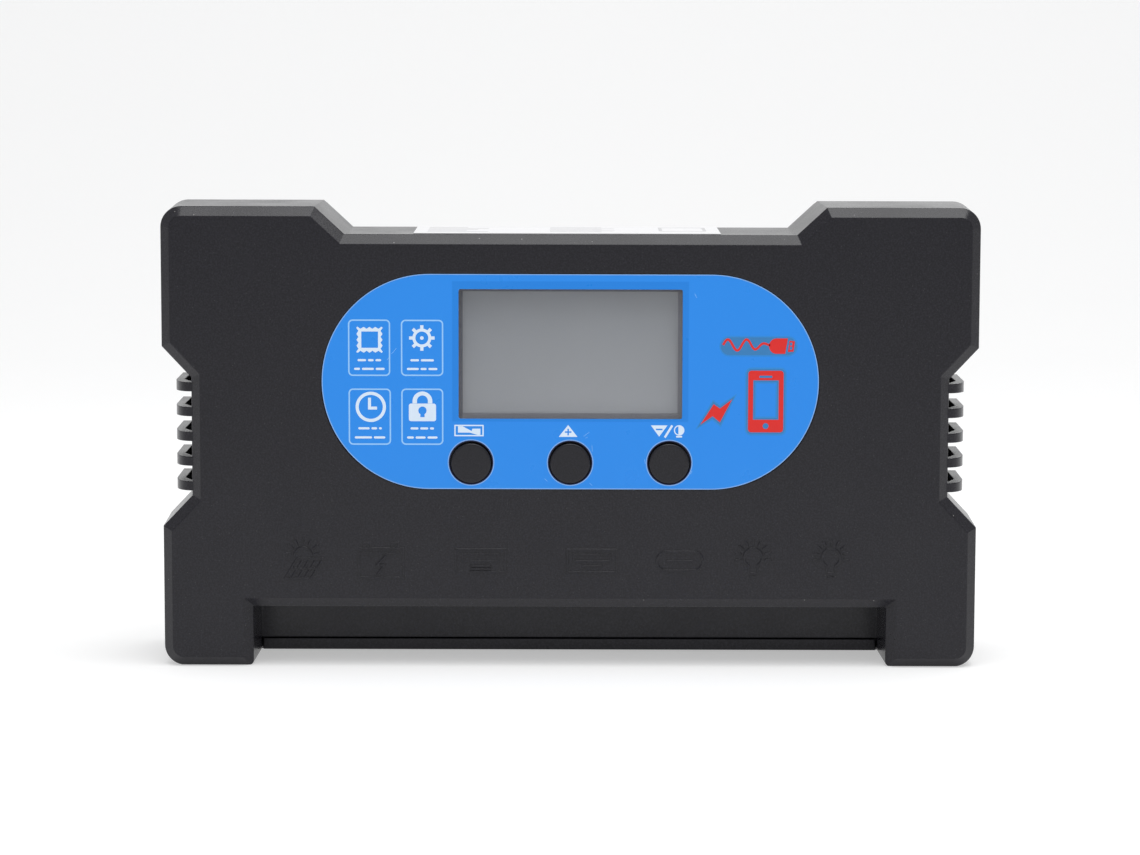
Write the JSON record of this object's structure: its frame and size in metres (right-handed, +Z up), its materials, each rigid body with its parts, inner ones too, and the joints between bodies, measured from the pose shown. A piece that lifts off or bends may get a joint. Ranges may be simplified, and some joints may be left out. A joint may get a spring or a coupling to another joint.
{
  "type": "charge controller",
  "caption": "Solar charge controller: black two-part case with side vents, blue display panel, push buttons, and screw terminals and USB sockets that face down in a bay between two feet.",
  "frame": {"origin": "centre of the footprint on the surface that the feet stand on", "axes": "+Z up, the display looks along -Y, +X to the right of a person who reads it"},
  "size_m": [0.1902, 0.0382, 0.1074],
  "materials": {
    "abs_black": "black ABS with a fine spark-eroded grain",
    "overlay_blue": "blue printed film, semi-gloss",
    "label_paper": "white coated paper",
    "screw_zinc": "zinc-plated steel",
    "screw_black": "black-oxide steel",
    "board_green": "green solder mask on glass-epoxy",
    "lcd_frame": "black ABS",
    "lcd_film": "grey polariser film, satin",
    "lcd_glass": "clear glass",
    "zebra_rubber": "silicone with carbon layers",
    "light_guide": "milky acrylic",
    "button_black": "black ABS, fine matt",
    "switch_black": "black nylon",
    "chip_black": "moulded epoxy",
    "can_steel": "nickel-plated steel can",
    "terminal_black": "black polyamide",
    "cage_steel": "zinc-plated steel",
    "contact_tin": "tinned brass",
    "socket_steel": "nickel-plated steel",
    "tongue_plastic": "dark thermoplastic",
    "pad_silicone": "grey-blue silicone",
    "sink_aluminium": "extruded aluminium",
    "spacer_brass": "turned brass",
    "capacitor_sleeve": "shrink sleeve over an aluminium can",
    "ferrite_grey": "ferrite",
    "shunt_wire": "resistance wire",
    "fuse_green": "translucent nylon with zinc blades"
  },
  "bodies": {
    "housing": {"front_cover": "abs_black", "rear_cover": "abs_black", "display_overlay": "overlay_blue", "rating_label": "label_paper", "housing_screws": "screw_black", "main_board": "board_green", "board_screws": "screw_zinc", "lcd_bezel": "lcd_frame", "lcd_polariser": "lcd_film", "lcd_glass": "lcd_glass", "lcd_zebra_strips": "zebra_rubber", "lcd_backlight": "light_guide", "switch_bases": "switch_black", "microcontroller": "chip_black", "timer_crystal": "can_steel", "terminal_block_source": "terminal_black", "terminal_block_load": "terminal_black", "current_bars": "contact_tin", "usb_a_shell_left": "socket_steel", "usb_a_shell_right": "socket_steel", "usb_a_tongues": "tongue_plastic", "usb_a_contacts": "contact_tin", "usb_c_shell": "socket_steel", "usb_c_tongue": "tongue_plastic", "transistor_bodies": "chip_black", "transistor_tabs": "contact_tin", "transistor_leads": "contact_tin", "insulating_pad": "pad_silicone", "heat_sink": "sink_aluminium", "heat_sink_spacers": "spacer_brass", "heat_sink_screws": "screw_zinc", "capacitors": "capacitor_sleeve", "power_inductor": "ferrite_grey", "converter_chip": "chip_black", "current_shunt": "shunt_wire", "blade_fuses": "fuse_green", "fuse_clips": "contact_tin"},
    "button_menu": {"button_cap_menu": "button_black"},
    "plunger_menu": {"switch_plunger_menu": "switch_black"},
    "button_up": {"button_cap_up": "button_black"},
    "plunger_up": {"switch_plunger_up": "switch_black"},
    "button_down": {"button_cap_down": "button_black"},
    "plunger_down": {"switch_plunger_down": "switch_black"},
    "clamp_screw_1": {"terminal_screw_1": "screw_zinc"},
    "clamp_cage_1": {"terminal_cage_1": "cage_steel"},
    "clamp_screw_2": {"terminal_screw_2": "screw_zinc"},
    "clamp_cage_2": {"terminal_cage_2": "cage_steel"},
    "clamp_screw_3": {"terminal_screw_3": "screw_zinc"},
    "clamp_cage_3": {"terminal_cage_3": "cage_steel"},
    "clamp_screw_4": {"terminal_screw_4": "screw_zinc"},
    "clamp_cage_4": {"terminal_cage_4": "cage_steel"},
    "clamp_screw_5": {"terminal_screw_5": "screw_zinc"},
    "clamp_cage_5": {"terminal_cage_5": "cage_steel"},
    "clamp_screw_6": {"terminal_screw_6": "screw_zinc"},
    "clamp_cage_6": {"terminal_cage_6": "cage_steel"},
    "clamp_screw_7": {"terminal_screw_7": "screw_zinc"},
    "clamp_cage_7": {"terminal_cage_7": "cage_steel"},
    "clamp_screw_8": {"terminal_screw_8": "screw_zinc"},
    "clamp_cage_8": {"terminal_cage_8": "cage_steel"}
  },
  "joints": [
    {"name": "button_menu_press", "type": "slide", "parent": "housing", "child": "button_menu", "axis": [0, 1, 0], "range_m": [0, 0.0004], "stiffness_N_per_m": 3000, "springref_m": -0.0001},
    {"name": "plunger_menu_press", "type": "slide", "parent": "housing", "child": "plunger_menu", "axis": [0, 1, 0], "range_m": [0, 0.0004]},
    {"name": "button_up_press", "type": "slide", "parent": "housing", "child": "button_up", "axis": [0, 1, 0], "range_m": [0, 0.0004], "stiffness_N_per_m": 3000, "springref_m": -0.0001},
    {"name": "plunger_up_press", "type": "slide", "parent": "housing", "child": "plunger_up", "axis": [0, 1, 0], "range_m": [0, 0.0004]},
    {"name": "button_down_press", "type": "slide", "parent": "housing", "child": "button_down", "axis": [0, 1, 0], "range_m": [0, 0.0004], "stiffness_N_per_m": 3000, "springref_m": -0.0001},
    {"name": "plunger_down_press", "type": "slide", "parent": "housing", "child": "plunger_down", "axis": [0, 1, 0], "range_m": [0, 0.0004]},
    {"name": "clamp_screw_1_turn", "type": "hinge", "parent": "housing", "child": "clamp_screw_1", "pos_m": [-0.06605, 0.0041, 0.02075], "axis": [0, -1, 0], "range_deg": [0, 2058]},
    {"name": "clamp_cage_1_rise", "type": "slide", "parent": "housing", "child": "clamp_cage_1", "axis": [0, 1, 0], "range_m": [0, 0.004]},
    {"name": "clamp_screw_2_turn", "type": "hinge", "parent": "housing", "child": "clamp_screw_2", "pos_m": [-0.05705, 0.0041, 0.02075], "axis": [0, -1, 0], "range_deg": [0, 2058]},
    {"name": "clamp_cage_2_rise", "type": "slide", "parent": "housing", "child": "clamp_cage_2", "axis": [0, 1, 0], "range_m": [0, 0.004]},
    {"name": "clamp_screw_3_turn", "type": "hinge", "parent": "housing", "child": "clamp_screw_3", "pos_m": [-0.04805, 0.0041, 0.02075], "axis": [0, -1, 0], "range_deg": [0, 2058]},
    {"name": "clamp_cage_3_rise", "type": "slide", "parent": "housing", "child": "clamp_cage_3", "axis": [0, 1, 0], "range_m": [0, 0.004]},
    {"name": "clamp_screw_4_turn", "type": "hinge", "parent": "housing", "child": "clamp_screw_4", "pos_m": [-0.03905, 0.0041, 0.02075], "axis": [0, -1, 0], "range_deg": [0, 2058]},
    {"name": "clamp_cage_4_rise", "type": "slide", "parent": "housing", "child": "clamp_cage_4", "axis": [0, 1, 0], "range_m": [0, 0.004]},
    {"name": "clamp_screw_5_turn", "type": "hinge", "parent": "housing", "child": "clamp_screw_5", "pos_m": [0.0378, 0.0041, 0.02075], "axis": [0, -1, 0], "range_deg": [0, 2058]},
    {"name": "clamp_cage_5_rise", "type": "slide", "parent": "housing", "child": "clamp_cage_5", "axis": [0, 1, 0], "range_m": [0, 0.004]},
    {"name": "clamp_screw_6_turn", "type": "hinge", "parent": "housing", "child": "clamp_screw_6", "pos_m": [0.0468, 0.0041, 0.02075], "axis": [0, -1, 0], "range_deg": [0, 2058]},
    {"name": "clamp_cage_6_rise", "type": "slide", "parent": "housing", "child": "clamp_cage_6", "axis": [0, 1, 0], "range_m": [0, 0.004]},
    {"name": "clamp_screw_7_turn", "type": "hinge", "parent": "housing", "child": "clamp_screw_7", "pos_m": [0.0558, 0.0041, 0.02075], "axis": [0, -1, 0], "range_deg": [0, 2058]},
    {"name": "clamp_cage_7_rise", "type": "slide", "parent": "housing", "child": "clamp_cage_7", "axis": [0, 1, 0], "range_m": [0, 0.004]},
    {"name": "clamp_screw_8_turn", "type": "hinge", "parent": "housing", "child": "clamp_screw_8", "pos_m": [0.0648, 0.0041, 0.02075], "axis": [0, -1, 0], "range_deg": [0, 2058]},
    {"name": "clamp_cage_8_rise", "type": "slide", "parent": "housing", "child": "clamp_cage_8", "axis": [0, 1, 0], "range_m": [0, 0.004]}
  ],
  "couplings": [
    {"joint": "plunger_menu_press", "follows": "button_menu_press", "ratio": 1},
    {"joint": "plunger_up_press", "follows": "button_up_press", "ratio": 1},
    {"joint": "plunger_down_press", "follows": "button_down_press", "ratio": 1},
    {"joint": "clamp_screw_1_turn", "follows": "clamp_cage_1_rise", "rad_per_m": 8976},
    {"joint": "clamp_screw_2_turn", "follows": "clamp_cage_2_rise", "rad_per_m": 8976},
    {"joint": "clamp_screw_3_turn", "follows": "clamp_cage_3_rise", "rad_per_m": 8976},
    {"joint": "clamp_screw_4_turn", "follows": "clamp_cage_4_rise", "rad_per_m": 8976},
    {"joint": "clamp_screw_5_turn", "follows": "clamp_cage_5_rise", "rad_per_m": 8976},
    {"joint": "clamp_screw_6_turn", "follows": "clamp_cage_6_rise", "rad_per_m": 8976},
    {"joint": "clamp_screw_7_turn", "follows": "clamp_cage_7_rise", "rad_per_m": 8976},
    {"joint": "clamp_screw_8_turn", "follows": "clamp_cage_8_rise", "rad_per_m": 8976}
  ]
}
